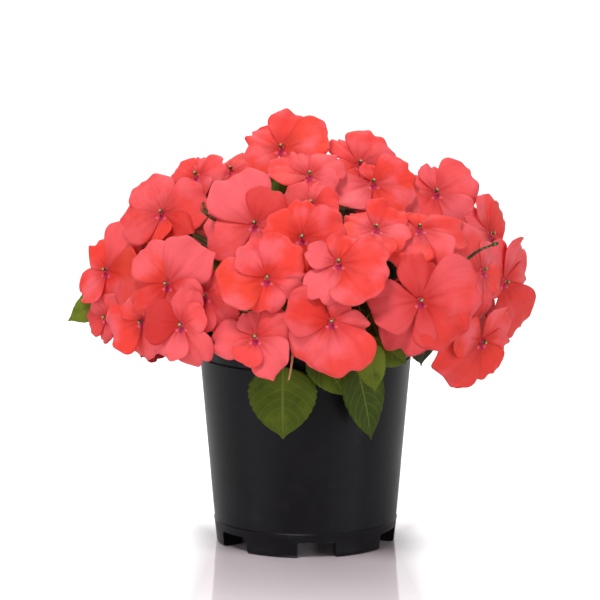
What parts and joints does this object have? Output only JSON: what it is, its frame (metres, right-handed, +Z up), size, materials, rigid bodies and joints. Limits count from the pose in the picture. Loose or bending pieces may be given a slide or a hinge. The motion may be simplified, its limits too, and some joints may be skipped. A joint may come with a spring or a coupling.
{
  "type": "potted busy lizzie",
  "caption": "Busy lizzie in full coral-red bloom, growing as a dense mound over a round black plastic nursery pot with a castellated foot.",
  "frame": {"origin": "on the ground, under the middle of the whole part's bounding box; the pot's axis is 2.3 mm towards +X and -3.7 mm towards +Y from it", "axes": "+Z up along the pot's axis; the front of the plant faces -Y and +X is to its right, seen from the front"},
  "size_m": [0.2548, 0.2076, 0.2336],
  "materials": {
    "pot_plastic": "satin black moulded polypropylene",
    "peat": "damp peat crumb",
    "stem_and_leaf": "soft satin leaf with lighter veins",
    "petal": "velvety coral-red petal with a magenta eye"
  },
  "bodies": {
    "root": {"pot": "pot_plastic", "growing_medium": "peat", "leafy_stem_1": "stem_and_leaf", "leafy_stem_2": "stem_and_leaf", "leafy_stem_3": "stem_and_leaf", "leafy_stem_4": "stem_and_leaf", "leafy_stem_5": "stem_and_leaf", "leafy_stem_6": "stem_and_leaf", "bloom_01": "petal", "bloom_02": "petal", "bloom_03": "petal", "bloom_04": "petal", "bloom_05": "petal", "bloom_06": "petal", "bloom_07": "petal", "bloom_08": "petal", "bloom_09": "petal", "bloom_10": "petal", "bloom_11": "petal", "bloom_12": "petal", "bloom_13": "petal", "bloom_14": "petal", "bloom_15": "petal", "bloom_16": "petal", "bloom_17": "petal", "bloom_18": "petal", "bloom_19": "petal", "bloom_20": "petal", "bloom_21": "petal", "bloom_22": "petal", "bloom_23": "petal", "bloom_24": "petal", "bloom_25": "petal", "bloom_26": "petal", "bloom_27": "petal", "bloom_28": "petal", "bloom_29": "petal", "bloom_30": "petal", "bloom_31": "petal", "bloom_32": "petal", "bloom_33": "petal", "bloom_34": "petal", "bloom_35": "petal", "bloom_36": "petal", "bloom_37": "petal", "bloom_38": "petal", "bloom_39": "petal", "bloom_40": "petal", "bloom_41": "petal", "bloom_42": "petal", "bloom_43": "petal", "bloom_44": "petal"}
  },
  "joints": []
}
